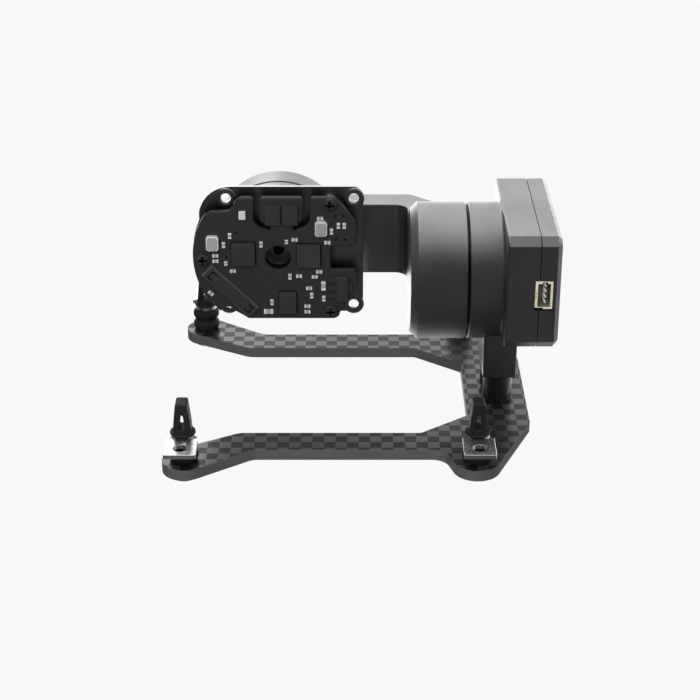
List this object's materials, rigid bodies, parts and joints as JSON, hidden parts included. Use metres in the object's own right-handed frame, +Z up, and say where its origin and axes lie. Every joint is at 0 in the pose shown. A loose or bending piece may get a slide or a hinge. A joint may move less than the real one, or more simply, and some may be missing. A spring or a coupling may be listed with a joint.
{
  "type": "camera gimbal",
  "caption": "Brushless tilt and roll camera gimbal on a damped U-shaped carbon plate, with motors, electronics box, arm and camera plate.",
  "frame": {"origin": "middle of the footprint, at the height of the underside of the four damper buttons that the gimbal stands on", "axes": "+X along the tilt axis towards the electronics box, +Z up, -Y the way the camera looks"},
  "size_m": [0.0676, 0.0674, 0.0392],
  "materials": {
    "carbon": "satin plain-weave carbon fibre laminate, 2 mm weave cells",
    "aluminium": "fine bead-blasted, grey anodised",
    "dark_aluminium": "black anodised, satin",
    "steel": "bright plated",
    "black_steel": "black oxide",
    "rubber": "matte moulded silicone",
    "board": "matte black solder mask",
    "chip": "moulded epoxy package",
    "component": "light grey metallised component",
    "black_plastic": "satin glass-filled nylon",
    "connector": "natural beige nylon",
    "copper": "enamelled copper wire",
    "core": "coated silicon steel laminations",
    "magnet": "nickel plated"
  },
  "bodies": {
    "base": {"base_plate": "carbon", "damper_front_left": "rubber", "damper_front_right": "rubber", "damper_rear_left": "rubber", "damper_rear_right": "rubber", "standoff_front": "dark_aluminium", "standoff_screw_front": "black_steel", "standoff_rear": "dark_aluminium", "standoff_screw_rear": "black_steel", "tilt_housing": "aluminium", "electronics_cover": "aluminium", "cover_screw_1": "black_steel", "cover_screw_2": "black_steel", "cover_screw_3": "black_steel", "cover_screw_4": "black_steel", "power_connector": "connector", "controller_board": "board", "controller_chip": "chip", "tilt_angle_sensor": "chip", "tilt_stator_core": "core", "tilt_windings": "copper", "tilt_bearing_outer": "steel", "tilt_bearing_inner": "steel"},
    "tilt": {"tilt_arm": "aluminium", "tilt_magnet_ring": "magnet", "tilt_shaft": "steel", "tilt_encoder_magnet": "magnet", "roll_stator_core": "core", "roll_windings": "copper", "roll_bearing_front": "steel", "roll_bearing_rear": "steel", "roll_encoder_board": "board", "roll_rear_cap": "dark_aluminium"},
    "roll": {"roll_rotor_bell": "aluminium", "roll_magnet_ring": "magnet", "roll_shaft": "steel", "roll_encoder_magnet": "magnet", "camera_plate": "dark_aluminium", "camera_board": "board", "board_screw_1": "black_steel", "board_screw_2": "black_steel", "board_screw_3": "black_steel", "plate_screw_1": "black_steel", "plate_screw_2": "black_steel", "plate_screw_3": "black_steel", "driver_chip_left": "chip", "driver_chip_right": "chip", "driver_chip_lower": "chip", "gyro_chip_left": "chip", "gyro_chip_right": "chip", "inductor_left": "component", "inductor_right": "component", "crystal": "component", "voltage_regulator": "black_plastic", "flex_connector": "black_plastic"},
    "tab_front_left": {"mounting_tab_front_left": "steel"},
    "tab_front_right": {"mounting_tab_front_right": "steel"},
    "tab_rear_left": {"mounting_tab_rear_left": "steel"},
    "tab_rear_right": {"mounting_tab_rear_right": "steel"}
  },
  "joints": [
    {"name": "tilt", "type": "hinge", "parent": "base", "child": "tilt", "pos_m": [0.013, 0, 0.0267], "axis": [1, 0, 0], "range_deg": [-60, 120]},
    {"name": "roll", "type": "hinge", "parent": "tilt", "child": "roll", "pos_m": [-0.0148, 0.01, 0.0267], "axis": [0, 1, 0], "range_deg": [-45, 45]},
    {"name": "damper_front_left_travel", "type": "slide", "parent": "base", "child": "tab_front_left", "axis": [0, 0, 1], "range_m": [-0.0008, 0.0008], "stiffness_N_per_m": 400, "deforming": ["damper_front_left"]},
    {"name": "damper_front_right_travel", "type": "slide", "parent": "base", "child": "tab_front_right", "axis": [0, 0, 1], "range_m": [-0.0008, 0.0008], "stiffness_N_per_m": 400, "deforming": ["damper_front_right"]},
    {"name": "damper_rear_left_travel", "type": "slide", "parent": "base", "child": "tab_rear_left", "axis": [0, 0, 1], "range_m": [-0.0008, 0.0008], "stiffness_N_per_m": 400, "deforming": ["damper_rear_left"]},
    {"name": "damper_rear_right_travel", "type": "slide", "parent": "base", "child": "tab_rear_right", "axis": [0, 0, 1], "range_m": [-0.0008, 0.0008], "stiffness_N_per_m": 400, "deforming": ["damper_rear_right"]}
  ]
}
